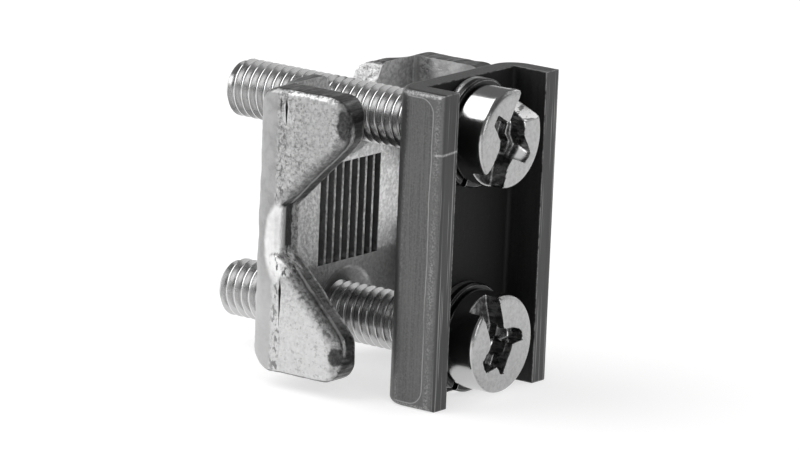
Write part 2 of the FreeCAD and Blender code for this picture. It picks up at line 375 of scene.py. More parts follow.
def make_head(name, axis_z, recess, cross_turn):
    """Turn one screw head and cut its worn slot and cross."""
    bm = bmesh.new()
    angles = [2.0 * math.pi * k / head_sides for k in range(head_sides)]
    rings = []
    for x, radius in head_section:
        around = angles if radius > 0.0 else angles[:1]
        rings.append([point_around(bm, axis_z, x, radius, angle) for angle in around])
    for ring, following in zip(rings, rings[1:]):
        for k in range(head_sides):
            after = (k + 1) % head_sides
            if len(ring) == 1:
                bm.faces.new((ring[0], following[k], following[after]))
            elif len(following) == 1:
                bm.faces.new((ring[k], following[0], ring[after]))
            else:
                bm.faces.new((ring[k], following[k], following[after], ring[after]))
    head = solid_from(bm, name)
    cut(head, make_slot_cutter(recess, axis_z))
    cut(head, make_cross_cutter(axis_z, cross_turn))
    if name.startswith("upper"):
        cut(head, make_wing_facet(axis_z), "UNION")
        cut(head, make_lip_cutter(axis_z))
    remesh = head.modifiers.new("even_skin", "REMESH")
    remesh.mode = "VOXEL"
    remesh.voxel_size = head_grain * MM
    soften = head.modifiers.new("worn_edges", "SMOOTH")
    soften.factor = 0.5
    soften.iterations = 4
    apply_modifiers(head)
    return head


def make_screw(name, recess, cross_turn):
    """Make one threaded screw in place of its CAD node."""
    axis_z = screw_heights[name]
    screw = make_thread(name + "_threaded", axis_z)
    head = make_head(name + "_head", axis_z, recess, cross_turn)
    cut(screw, head, "UNION")
    shade_by_angle(screw, 38.0, shaft_degrees=14.0)
    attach(screw, name)
    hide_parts(name)
    return screw


def ease(value, low, high):
    """Go smoothly from 0 at low to 1 at high."""
    share = min(1.0, max(0.0, (value - low) / (high - low)))
    return share * share * (3.0 - 2.0 * share)


def worn_jaw_place(place, normal):
    """Give where wear and forming have moved a point of the jaw, in millimetres."""
    x, y, z = place
    side = 1.0 if y > 0.0 else -1.0
    off = abs(y)
    height = abs(z - middle_z)

    # The outer skin rolls over towards the V and the ear tips
    from_notch = (height - notch_half_floor - (x - notch_floor_x)) / math.sqrt(2.0)
    from_tip = ear_tip_x - x
    softness = 1.2
    overlap = max(0.0, 1.0 - abs(from_notch - from_tip) / softness)
    nearest = min(from_notch, from_tip) - 0.25 * softness * overlap * overlap
    if off > inner_y - 0.01 and nearest < roll_width:
        depth = min(1.0, 1.0 - nearest / roll_width)
        drop = roll_drop * (1.0 - math.sqrt(1.0 - depth * depth))
        drop *= ease(x, notch_floor_x - 0.3, notch_floor_x + 1.4)
        off = inner_y + (off - inner_y) * (1.0 - drop / (outer_y - inner_y))

    # The corners of the bends are cut off more at the ends
    past_bend = ease(x, -3.0, -7.6) * ease(off, 9.0, 13.0)
    near_end = ease(height, half_height - 5.0, half_height)
    height -= corner_cut * past_bend * near_end

    # A burr stands out below the corners of the V
    to_burr = Vector((x + 1.6, (off - outer_y) * 0.6, height - notch_half_floor - 0.6))
    lumps = 0.75 + noise.noise(place * 1.4)
    burr = burr_height * lumps * math.exp(-to_burr.length_squared / 0.7)
    off += burr * ease(off, 15.0, 17.0)
    if off > inner_y and x > notch_floor_x - 0.6:
        height -= burr_drop * lumps * math.exp(-to_burr.length_squared / 0.5)

    # The skin is lightly uneven, but not round the screw holes
    moved = Vector((x, side * off, middle_z + math.copysign(height, z - middle_z)))
    from_screw = math.hypot(y, height - screw_offset)
    clear = ease(from_screw, 6.4, 7.4) if off < inner_y - 0.5 else 1.0
    swell = noise.noise(place * 0.33) * 0.09 + noise.noise(place * 0.9) * 0.045
    grit = noise.noise(place * 1.7 + Vector((9.0, 4.0, 2.0))) * 0.035
    on_base_front = off < inner_y - 0.5 and x > -5.0
    rough = 0.4 if on_base_front else 1.0
    return moved + normal * ((swell + grit) * clear * rough)


def make_jaw():
    """Make the jaw in place of its CAD node: finer, and worn, rolled and burred."""
    bm = bmesh.new()
    bm.from_mesh(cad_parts["prism_jaw"].data)
    bmesh.ops.remove_doubles(bm, verts=bm.verts[:], dist=weld_distance * MM)
    for ring in edge_rings:
        slice_mesh(bm, (ear_tip_x - ring, 0.0, middle_z), (1.0, 0.0, 0.0))
        for up in (-1.0, 1.0):
            edge_z = middle_z + up * (notch_half_floor + ring * math.sqrt(2.0))
            slice_mesh(bm, (notch_floor_x, 0.0, edge_z), (-1.0, 0.0, up))
    for past_corner in corner_rings:
        slice_mesh(bm, (notch_floor_x + past_corner, 0.0, 0.0), (1.0, 0.0, 0.0))
        for up in (-1.0, 1.0):
            corner_z = middle_z + up * (notch_half_floor + past_corner)
            slice_mesh(bm, (0.0, 0.0, corner_z), (0.0, 0.0, 1.0))
    for axis in range(3):
        low = min(vert.co[axis] for vert in bm.verts) / MM
        high = max(vert.co[axis] for vert in bm.verts) / MM
        steps = int((high - low) / skin_spacing)
        direction = Vector((0.0, 0.0, 0.0))
        direction[axis] = 1.0
        for step in range(1, steps):
            slice_mesh(bm, direction * (low + (high - low) * step / steps), direction)
    bm.normal_update()
    moved = [worn_jaw_place(vert.co / MM, vert.normal.copy()) * MM for vert in bm.verts]
    for vert, place in zip(bm.verts, moved):
        vert.co = place
    jaw = object_from(bm, "prism_jaw_worn")
    shade_by_angle(jaw, 34.0)
    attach(jaw, "jaw")
    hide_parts("prism_jaw")
    return jaw


def add_node(tree, kind, values=None, **settings):
    """Add a shader node; values go to its inputs, and sockets among them are linked."""
    made = tree.nodes.new(kind)
    for key, value in settings.items():
        setattr(made, key, value)
    for key, value in (values or {}).items():
        if isinstance(value, bpy.types.NodeSocket):
            tree.links.new(value, made.inputs[key])
        else:
            made.inputs[key].default_value = value
    return made


def calculate(tree, operation, first, second=0.0, third=0.0, clamp=False):
    """Add a math node and give its result."""
    made = add_node(tree, "ShaderNodeMath", {0: first, 1: second, 2: third},
                    operation=operation, use_clamp=clamp)
    return made.outputs[0]


def product(tree, *values):
    """Multiply values, which are sockets or numbers."""
    result = values[0]
    for value in values[1:]:
        result = calculate(tree, "MULTIPLY", result, value)
    return result


def minus(tree, value, taken_off):
    """Take a value, or a number, off another."""
    return calculate(tree, "SUBTRACT", value, taken_off)


def size_of(tree, value):
    """Give a value without its sign."""
    return calculate(tree, "ABSOLUTE", value)


def spread(tree, value, low, high, out_low=0.0, out_high=1.0):
    """Map a value smoothly from one range to another."""
    made = add_node(
        tree, "ShaderNodeMapRange",
        {"Value": value, "From Min": low, "From Max": high,
         "To Min": out_low, "To Max": out_high},
        interpolation_type="SMOOTHSTEP")
    return made.outputs["Result"]


def band(tree, value, low, high, soft):
    """Give 1 where a value lies between low and high, with soft ends."""
    rises = spread(tree, value, low - soft, low + soft)
    falls = spread(tree, value, high + soft, high - soft)
    return product(tree, rises, falls)


def blend(tree, factor, first, second):
    """Mix two greys, or colours, and give the result."""
    made = add_node(tree, "ShaderNodeMix", {"Factor": factor}, data_type="RGBA",
                    clamp_factor=True)
    for socket, value in ((made.inputs[6], first), (made.inputs[7], second)):
        if isinstance(value, bpy.types.NodeSocket):
            tree.links.new(value, socket)
        else:
            socket.default_value = (value, value, value, 1.0)
    return made.outputs[2]


def coat(tree, color, mask, strength, over):
    """Lay another grey over a colour where a mask is, at some strength."""
    return blend(tree, product(tree, mask, strength), color, over)


def squares(tree, first, second):
    """Add the squares of two values."""
    return calculate(tree, "ADD", product(tree, first, first), product(tree, second, second))


def distance(tree, first, second):
    """Give the distance that two offsets at right angles make."""
    return calculate(tree, "SQRT", squares(tree, first, second))


def nudge(tree, value, other, amount):
    """Move a value by a share of another, such as the edge of a patch by a ragged noise."""
    return calculate(tree, "MULTIPLY_ADD", other, amount, value)


def height_from_middle(tree, z):
    """Give the height above or below the middle of the clamp."""
    return size_of(tree, minus(tree, z, middle_z))


def own_place(tree):
    """Give the place on a piece, in metres."""
    return add_node(tree, "ShaderNodeTexCoord").outputs["Object"]


def place_in_mm(tree):
    """Give the place on the piece along X, Y and Z in millimetres."""
    scaled = add_node(tree, "ShaderNodeVectorMath", {0: own_place(tree), "Scale": PER_MM},
                      operation="SCALE")
    parts = add_node(tree, "ShaderNodeSeparateXYZ", {0: scaled.outputs["Vector"]})
    return parts.outputs["X"], parts.outputs["Y"], parts.outputs["Z"]


def face_direction(tree):
    """Give the X, Y and Z parts of the direction that a surface faces."""
    surface = add_node(tree, "ShaderNodeNewGeometry")
    parts = add_node(tree, "ShaderNodeSeparateXYZ", {0: surface.outputs["Normal"]})
    return parts.outputs["X"], parts.outputs["Y"], parts.outputs["Z"]


def noise_at(tree, place, scale, detail=3.0, roughness=0.6):
    """Give a noise from 0 to 1 at a place."""
    made = add_node(tree, "ShaderNodeTexNoise",
                    {"Vector": place, "Scale": scale, "Detail": detail, "Roughness": roughness})
    return made.outputs["Fac"]


def noise_value(tree, scale, detail=3.0, roughness=0.6, stretch=(1.0, 1.0, 1.0)):
    """Give a noise from 0 to 1 on a piece; scale is in lumps per millimetre."""
    scaled = add_node(tree, "ShaderNodeVectorMath", {0: own_place(tree), 1: stretch},
                      operation="MULTIPLY")
    return noise_at(tree, scaled.outputs["Vector"], PER_MM * scale, detail, roughness)


def new_group(name, inputs, outputs):
    """Start a node group; inputs are (name, default) pairs and outputs are names."""
    tree = bpy.data.node_groups.new(name, "ShaderNodeTree")
    for title, default in inputs:
        socket = tree.interface.new_socket(title, in_out="INPUT", socket_type="NodeSocketFloat")
        socket.default_value = default
    for title in outputs:
        tree.interface.new_socket(title, in_out="OUTPUT", socket_type="NodeSocketFloat")
    entry = tree.nodes.new("NodeGroupInput")
    leave = tree.nodes.new("NodeGroupOutput")
    return tree, entry.outputs, leave.inputs


def build_edge_wear():
    """Group: where an outer edge is worn bright, broken up unevenly."""
    tree, given, result = new_group(
        "edge_wear", [("Width", 0.3 * MM), ("Breakup", 600.0), ("Amount", 1.0)], ["Mask"])
    rounded = add_node(tree, "ShaderNodeBevel", {"Radius": given["Width"]}, samples=6)
    flat = add_node(tree, "ShaderNodeNewGeometry")
    facing = add_node(tree, "ShaderNodeVectorMath",
                      {0: rounded.outputs["Normal"], 1: flat.outputs["Normal"]},
                      operation="DOT_PRODUCT")
    edge = spread(tree, facing.outputs["Value"], 0.995, 0.86)
    open_air = add_node(tree, "ShaderNodeAmbientOcclusion", {"Distance": 1.2 * MM},
                        samples=4, only_local=True)
    outer = spread(tree, open_air.outputs["AO"], 0.75, 0.98)
    uneven = spread(tree, noise_at(tree, own_place(tree), given["Breakup"]), 0.3, 0.62)
    mask = calculate(tree, "MULTIPLY", product(tree, edge, outer, uneven),
                     given["Amount"], clamp=True)
    tree.links.new(mask, result["Mask"])
    return tree


def build_crevice_shade():
    """Group: where painted shade darkens slots and corners."""
    tree, given, result = new_group("crevice_shade", [("Reach", 1.5 * MM)], ["Mask"])
    open_air = add_node(tree, "ShaderNodeAmbientOcclusion", {"Distance": given["Reach"]},
                        samples=6, only_local=True)
    tree.links.new(spread(tree, open_air.outputs["AO"], 0.85, 0.35), result["Mask"])
    return tree


def build_grain():
    """Group: fine lines along the Z axis, as rolling and handling leave them."""
    tree, given, result = new_group(
        "rolled_grain", [("Across", 9000.0), ("Along", 250.0)], ["Lines", "Streaks"])
    place = own_place(tree)
    for title, share, detail in (("Lines", 1.0, 2.0), ("Streaks", 0.28, 4.0)):
        across = product(tree, given["Across"], share)
        along = product(tree, given["Along"], share)
        stretch = add_node(tree, "ShaderNodeCombineXYZ", {"X": across, "Y": across, "Z": along})
        scaled = add_node(tree, "ShaderNodeVectorMath", {0: place, 1: stretch.outputs["Vector"]},
                          operation="MULTIPLY")
        lines = noise_at(tree, scaled.outputs["Vector"], 1.0, detail)
        tree.links.new(lines, result[title])
    return tree


def build_speckle():
    """Group: the fine mottling and the broad clouds of plated sheet."""
    tree, given, result = new_group("plate_speckle", [("Scale", 2600.0)], ["Mottle", "Clouds"])
    place = own_place(tree)
    coarser = product(tree, given["Scale"], 0.12)
    tree.links.new(noise_at(tree, place, given["Scale"], 5.0, 0.65), result["Mottle"])
    tree.links.new(noise_at(tree, place, coarser, 4.0), result["Clouds"])
    return tree


def use_group(tree, group, **values):
    """Place a node group in a material and give its outputs."""
    made = tree.nodes.new("ShaderNodeGroup")
    made.node_tree = group
    for key, value in values.items():
        made.inputs[key].default_value = value
    return made.outputs


def new_metal(name):
    """Start a metal material and give it with its node tree."""
    material = bpy.data.materials.new(name)
    material.use_nodes = True
    return material, material.node_tree


def finish_metal(tree, color, rough, height, strength, distance_mm):
    """Link the colour, the roughness and a bump to a metal's shader."""
    shader = tree.nodes["Principled BSDF"]
    shader.inputs["Metallic"].default_value = 1.0
    tree.links.new(color, shader.inputs["Base Color"])
    tree.links.new(rough, shader.inputs["Roughness"])
    bump = add_node(tree, "ShaderNodeBump",
                    {"Height": height, "Strength": strength, "Distance": distance_mm * MM})
    tree.links.new(bump.outputs["Normal"], shader.inputs["Normal"])


def make_dark_steel(groups):
    """Dark rolled steel of the channel, with light worn edges."""
    material, tree = new_metal("dark_steel")
    x, y, z = place_in_mm(tree)
    faces_x, _, faces_z = face_direction(tree)
    wear = use_group(tree, groups["wear"], Width=0.35 * MM, Breakup=900.0, Amount=0.9)
    grain = use_group(tree, groups["grain"], Across=11000.0, Along=260.0)
    speckle = use_group(tree, groups["speckle"], Scale=3600.0)

    # Skin with its rolled grain
    color = blend(tree, spread(tree, grain["Streaks"], 0.3, 0.7), 0.095, 0.14)
    mottle = spread(tree, speckle["Mottle"], 0.4, 0.7)
    color = coat(tree, color, mottle, 0.6, 0.175)
    color = coat(tree, color, spread(tree, grain["Lines"], 0.58, 0.8), 0.6, 0.22)

    # Two rubbed strips along the outside of a flange, and the rim line of its flat face
    off_middle = size_of(tree, y)
    on_side = spread(tree, off_middle, channel_half_width - 0.4, channel_half_width - 0.1)
    specks = spread(tree, noise_value(tree, 3.4), 0.44, 0.6)
    patches = spread(tree, noise_value(tree, 0.16), 0.3, 0.6)
    strip_half_width = 0.35
    for strip_x, amount in ((14.5, 0.6), (19.8, 0.85)):
        strip = band(tree, x, strip_x - strip_half_width, strip_x + strip_half_width, 0.4)
        lightened = product(tree, strip, on_side, specks, patches, amount)
        color = blend(tree, lightened, color, 0.36)
    rim_x, rim_height, rim_radius = 17.25, 18.35, 2.0
    wander = nudge(tree, x, noise_value(tree, 0.2, 4.0), 0.5)
    past_x = calculate(tree, "MAXIMUM", minus(tree, wander, rim_x), 0.0)
    height_off = height_from_middle(tree, z)
    past_z = calculate(tree, "MAXIMUM", minus(tree, height_off, rim_height), 0.0)
    from_corner = distance(tree, past_x, past_z)
    rim_line = product(tree, band(tree, from_corner, rim_radius - 0.05, rim_radius + 0.05, 0.1),
                       spread(tree, grain["Streaks"], 0.25, 0.5), on_side)
    color = coat(tree, color, rim_line, 0.7, 0.5)
    outside_rim = product(tree, spread(tree, from_corner, rim_radius, rim_radius + 0.3), on_side)
    color = coat(tree, color, outside_rim, 0.3, 0.17)

    # Sheared ends of the flanges, with bright upright scratches and one across
    end_face = product(tree, spread(tree, faces_x, 0.75, 0.95), spread(tree, x, 18.0, 19.0))
    scratches = noise_value(tree, 3.2, 2.0, 0.5, stretch=(1.0, 1.0, 0.015))
    end_color = blend(tree, spread(tree, scratches, 0.58, 0.66), 0.075, 0.24)
    color = blend(tree, end_face, color, end_color)
    nick_z = minus(tree, z, product(tree, y, 0.06))
    nick = product(tree, band(tree, nick_z, 34.9, 35.15, 0.12), spread(tree, x, 19.2, 19.7),
                   spread(tree, y, -9.0, -9.3), spread(tree, specks, 0.0, 0.5, 0.5, 1.0))
    color = coat(tree, color, nick, 0.8, 0.5)

    # Sheared top and foot with a scratch inside the far flange, and painted shade inside the
    # channel
    faces_ends = size_of(tree, faces_z)
    endwise = spread(tree, faces_ends, 0.75, 0.95)
    color = blend(tree, endwise, color, blend(tree, mottle, 0.13, 0.19))
    rim_scratch = product(
        tree, endwise, band(tree, y, flange_inner_y + 0.02, flange_inner_y + 0.2, 0.07),
        spread(tree, x, web_inner_x - 0.45, web_inner_x + 0.15))
    color = blend(tree, rim_scratch, color, 0.9)
    # Painted shade: the inside of the channel nearly black, and rougher
    inside_shade = product(tree, spread(tree, off_middle, flange_inner_y + 0.15, flange_inner_y - 0.05),
                    spread(tree, x, web_inner_x - 0.25, web_inner_x + 0.05))
    color = coat(tree, color, inside_shade, 0.9, 0.02)

    # Rounded edges of the top and the foot, rubbed in spots
    rounded = product(tree, spread(tree, faces_ends, 0.2, 0.4),
                      spread(tree, faces_ends, 0.97, 0.85), specks, 0.55)
    color = blend(tree, rounded, color, 0.4)

    # Wear, the roughness and the relief
    color = blend(tree, wear["Mask"], color, 0.42)
    rough = spread(tree, grain["Streaks"], 0.2, 0.8, 0.34, 0.46)
    rough = nudge(tree, rough, inside_shade, 0.3)
    relief = nudge(tree, grain["Lines"], speckle["Mottle"], 0.6)
    finish_metal(tree, color, rough, relief, 0.35, 0.03)
    return material


def make_zinc_plate(groups):
    """Pale plated sheet of the jaw, finely mottled, dark where it was sheared."""
    material, tree = new_metal("zinc_plate")
    x, y, z = place_in_mm(tree)
    faces_x, faces_y, faces_z = face_direction(tree)
    wear = use_group(tree, groups["wear"], Width=0.3 * MM, Breakup=700.0, Amount=0.9)
    # Painted shade, darker where the surface is hemmed in
    corner_shade = use_group(tree, groups["corner_shade"], Reach=0.9 * MM)
    speckle = use_group(tree, groups["speckle"], Scale=3000.0)
    ragged = minus(tree, noise_value(tree, 1.1, 5.0, 0.7), 0.5)
    off_middle = size_of(tree, y)
    height_off = height_from_middle(tree, z)
    across_skin = size_of(tree, faces_y)
    on_flank = spread(tree, off_middle, inner_y - 0.1, inner_y + 0.1)
    on_outside = spread(tree, off_middle, outer_y - 1.4, outer_y - 1.0)

    # Mottled skin, lighter on the lower ears as painted light from below, with pits and bright
    # rubbed spots
    mottle = spread(tree, noise_value(tree, 1.9, 4.0, 0.62), 0.36, 0.64)
    clouds = spread(tree, noise_value(tree, 0.35, 4.0), 0.36, 0.64)
    painted_light_below = spread(tree, z, 20.0, 9.0)
    dull = blend(tree, clouds, 0.19, 0.32)
    light = blend(tree, clouds, 0.45, 0.62)
    color = blend(tree, mottle, dull, light)
    fine = spread(tree, speckle["Mottle"], 0.36, 0.66)
    color = coat(tree, color, fine, 0.45, 0.62)
    pits = spread(tree, noise_value(tree, 2.4, 2.0, 0.5), 0.4, 0.33)
    color = coat(tree, color, pits, 0.6, 0.12)
    away = product(tree, spread(tree, x, -0.8, 1.5), spread(tree, clouds, 0.2, 0.8))
    color = coat(tree, color, away, 0.5, 0.4)
    # Painted light from below: the lower part lighter
    color = coat(tree, color, painted_light_below, 0.6, 0.82)
    low_pits = spread(tree, noise_value(tree, 1.7), 0.41, 0.35)
    color = blend(tree, product(tree, low_pits, painted_light_below, 0.5), color, 0.3)

    # Smooth outside of the bends, lighter lower down as painted light
    smooth_bend = product(tree, spread(tree, nudge(tree, x, ragged, 1.2), -2.5, -3.1),
                          spread(tree, off_middle, 9.0, 11.0))
    bend_color = blend(tree, clouds, 0.33, 0.4)
    bend_color = coat(tree, bend_color, painted_light_below, 0.5, 0.6)
    color = coat(tree, color, smooth_bend, 0.9, bend_color)

    # Beside the bend the skin has cracked and lost its plating in places
    crack_strip = product(tree, band(tree, x, -2.7, -1.2, 0.5),
                          spread(tree, off_middle, outer_y - 1.3, outer_y - 0.5))
    torn_spots = spread(tree, noise_value(tree, 1.8, 4.0, 0.65, (1.0, 1.0, 0.45)), 0.52, 0.58)
    color = blend(tree, product(tree, crack_strip, torn_spots, 0.7), color, 0.1)
    cracked_flank = spread(tree, y, 1.3 - outer_y, 1.0 - outer_y)
    long_crack = band(tree, z, 8.2, 15.6, 0.5)
    short_crack = band(tree, z, 35.4, 39.0, 0.5)
    crack_lips = product(tree, band(tree, x, -1.85, -1.05, 0.12), cracked_flank,
                         calculate(tree, "MAXIMUM", long_crack, short_crack),
                         spread(tree, ragged, -0.15, 0.05))
    color = coat(tree, color, crack_lips, 0.35, 0.8)
    hair_crack = product(tree, band(tree, nudge(tree, x, ragged, 0.9), -2.42, -2.28, 0.07),
                         band(tree, z, 37.4, 39.0, 0.4), cracked_flank)
    color = blend(tree, hair_crack, color, 0.02)

    # Inner faces of the flanks, lighter as a painted highlight
    inner_flank_highlight = product(tree, spread(tree, product(tree, faces_y, y), -9.0, -12.0),
                             spread(tree, off_middle, inner_y + 0.2, inner_y),
                             spread(tree, x, -1.5, 0.0))
    # Painted highlight colour for the inner faces of the flanks
    lightened = blend(tree, clouds, 0.6, 0.95)
    color = coat(tree, color, inner_flank_highlight, 0.9, lightened)

    # Faces that the shears have cut: dark with streaks through the sheet
    edgewise = spread(tree, across_skin, 0.5, 0.25)
    forward = spread(tree, x, -2.6, -2.3)
    flank_cut = product(tree, on_flank, edgewise, forward)
    endwise = spread(tree, size_of(tree, faces_z), 0.6, 0.8)
    cut_face = calculate(tree, "MAXIMUM", flank_cut, endwise)
    streaks = noise_value(tree, 1.6, 4.0, 0.6, (1.0, 0.12, 1.0))
    light_streaks = spread(tree, streaks, 0.42, 0.66)
    cut_color = blend(tree, light_streaks, 0.065, 0.2)
    end_color = blend(tree, light_streaks, 0.12, 0.34)
    cut_color = blend(tree, endwise, cut_color, end_color)
    color = blend(tree, cut_face, color, cut_color)

    # The skin is darkened with painted shade where it rolls over into the V and round the ear tips
    past_corner = minus(tree, height_off, notch_half_floor - notch_floor_x)
    from_notch = product(tree, minus(tree, past_corner, x), math.sqrt(0.5))
    from_end = minus(tree, ear_tip_x, x)
    from_edge = nudge(tree, calculate(tree, "MINIMUM", from_notch, from_end), ragged, 1.0)
    rolled_over = product(tree, on_flank, forward, spread(tree, from_edge, 1.7, 0.5),
                          spread(tree, across_skin, 0.25, 0.45),
                          spread(tree, height_off, 3.4, 4.8))
    darker = blend(tree, mottle, 0.18, 0.46)
    paler = blend(tree, mottle, 0.18, 0.36)
    roll_color = blend(tree, spread(tree, z, 18.0, 24.0), darker, paler)
    color = blend(tree, rolled_over, color, roll_color)

    # A dark worn spot by the tip of each ear, larger on the upper ear
    is_upper = spread(tree, z, 20.0, 22.0)
    spot_reach = nudge(tree, 1.2, is_upper, 1.0)
    spot_middle = nudge(tree, 15.3, is_upper, 0.5)
    spot_along = calculate(tree, "DIVIDE", minus(tree, x, ear_tip_x - 0.5), 0.95)
    spot_up = calculate(tree, "DIVIDE", minus(tree, height_off, spot_middle), spot_reach)
    from_spot = nudge(tree, squares(tree, spot_along, spot_up), ragged, 1.5)
    worn_spot = product(tree, on_flank, spread(tree, from_spot, 1.3, 0.6),
                        spread(tree, across_skin, 0.2, 0.35))
    color = blend(tree, worn_spot, color, blend(tree, mottle, 0.05, 0.1))

    # The sides of the V: a burnished light line along them, and mottled behind it
    in_notch = product(tree, flank_cut, spread(tree, height_off, 15.6, 15.0),
                       spread(tree, faces_x, 0.2, 0.4))
    line_y = nudge(tree, off_middle, ragged, 0.5)
    shine_line = product(tree, in_notch, band(tree, line_y, 15.3, 15.75, 0.15),
                         spread(tree, clouds, -0.2, 0.3))
    color = blend(tree, product(tree, in_notch, mottle, 0.6), color, 0.27)
    color = coat(tree, color, shine_line, 0.9, 0.72)
    inner_edge = product(tree, in_notch, spread(tree, line_y, 13.8, 13.55), mottle)
    color = coat(tree, color, inner_edge, 0.8, 0.7)

    # The floor of the V: black where it broke, light and ragged behind
    on_floor = product(tree, on_flank,
                       spread(tree, height_off, notch_half_floor + 0.7, notch_half_floor + 0.3),
                       spread(tree, faces_x, 0.3, 0.5), spread(tree, x, -3.2, -2.9))
    torn_y = nudge(tree, off_middle, ragged, 1.2)
    broken = product(tree, on_floor, spread(tree, torn_y, 14.7, 14.9))
    behind = product(tree, on_floor, spread(tree, torn_y, 14.8, 14.6), 0.85)
    color = blend(tree, broken, color, 0.07)
    color = blend(tree, behind, color, blend(tree, mottle, 0.3, 0.7))

    # Rolled rim of the flanks: a painted highlight, bright and ragged where it faces up
    upward_rim = product(tree, on_outside, spread(tree, x, -2.0, -1.0),
                         spread(tree, faces_z, 0.04, 0.5), spread(tree, faces_x, 0.5, 0.3),
                         spread(tree, across_skin, 0.3, 0.5))
    painted_rim_highlight = product(tree, upward_rim, spread(tree, mottle, 0.0, 0.9))
    color = coat(tree, color, painted_rim_highlight, 0.8, 0.85)

    # Painted highlight on the flattened patch at the waist of each flank
    across = calculate(tree, "DIVIDE", minus(tree, x, -1.5), 2.9)
    upright = calculate(tree, "DIVIDE", minus(tree, z, 19.6), 5.6)
    from_waist = nudge(tree, squares(tree, across, upright), ragged, 0.3)
    waist_highlight = product(tree, spread(tree, from_waist, 1.2, 0.75), on_outside,
                    spread(tree, x, -1.6, -1.9))
    color = blend(tree, waist_highlight, color, blend(tree, clouds, 0.72, 0.9))

    # Torn, light skin round the lower corner of the V
    torn_x = minus(tree, x, -1.3)
    torn_z = minus(tree, z, middle_z - 4.1)
    from_tear = nudge(tree, distance(tree, torn_x, torn_z), ragged, 1.6)
    torn_skin = product(tree, spread(tree, from_tear, 2.2, 1.5),
                        spread(tree, off_middle, inner_y + 1.0, inner_y + 1.3))
    shreds = spread(tree, noise_value(tree, 1.2, 3.0, 0.6, (1.0, 1.0, 0.5)), 0.36, 0.48)
    shred_color = blend(tree, mottle, 0.3, 0.95)
    shred_color = blend(tree, spread(tree, across_skin, 0.3, 0.6), shred_color, 0.92)
    shred_color = blend(tree, shreds, 0.12, shred_color)
    color = blend(tree, torn_skin, color, shred_color)

    # Front of the base, its grip with thin light crests and painted shade in the grooves, and
    # painted shade on the part below
    on_base = product(tree, spread(tree, off_middle, inner_y + 0.1, inner_y - 0.1),
                      spread(tree, x, -7.0, -6.4))
    base_front = product(tree, on_base, spread(tree, faces_x, 0.7, 0.9),
                         spread(tree, x, -4.2, -3.9))
    front_color = blend(tree, mottle, 0.62, 0.95)
    color = coat(tree, color, base_front, 0.95, front_color)
    grip = product(tree, on_base, spread(tree, off_middle, grip_half_width + 0.12, grip_half_width),
                   spread(tree, height_off, grip_half_height + 0.05, grip_half_height - 0.05))
    groove_share = calculate(tree, "FRACT", calculate(tree, "DIVIDE", y, groove_pitch))
    from_crest = calculate(tree, "MINIMUM", groove_share, minus(tree, 1.0, groove_share))
    crest = spread(tree, nudge(tree, from_crest, ragged, 0.08), 0.13, 0.07)
    # Painted shade: the grooves nearly black
    groove_color = blend(tree, speckle["Clouds"], 0.02, 0.09)
    crest_color = blend(tree, mottle, 0.25, 0.6)
    grip_color = blend(tree, crest, groove_color, crest_color)
    color = blend(tree, grip, color, grip_color)
    # Painted shade over the lower part of the base front
    shaded_below = product(tree, on_base, spread(tree, nudge(tree, z, ragged, 2.5), 15.4, 14.2))
    color = coat(tree, color, shaded_below, 0.72, 0.2)
    from_axis = minus(tree, height_off, screw_offset)
    from_hole = nudge(tree, distance(tree, y, from_axis), ragged, 0.8)
    rim = product(tree, on_base, band(tree, from_hole, 5.7, 6.1, 0.2), spread(tree, x, -4.9, -4.6),
                  spread(tree, speckle["Clouds"], 0.35, 0.55))
    color = coat(tree, color, rim, 0.9, 0.75)

    # Painted shade in slots and corners, wear, the roughness and the relief
    color = coat(tree, color, corner_shade["Mask"], 0.7, 0.03)
    color = coat(tree, color, wear["Mask"], 0.8, 0.75)
    rough = spread(tree, speckle["Clouds"], 0.25, 0.75, 0.32, 0.44)
    rough = nudge(tree, rough, inner_flank_highlight, 0.25)
    relief = minus(tree, mottle, product(tree, pits, 0.8))
    relief = nudge(tree, relief, fine, 0.5)
    relief = nudge(tree, relief, streaks, product(tree, cut_face, 1.5))
    relief = product(tree, relief, spread(tree, smooth_bend, 0.0, 1.0, 1.0, 0.25))
    finish_metal(tree, color, rough, relief, 0.6, 0.05)
    return material


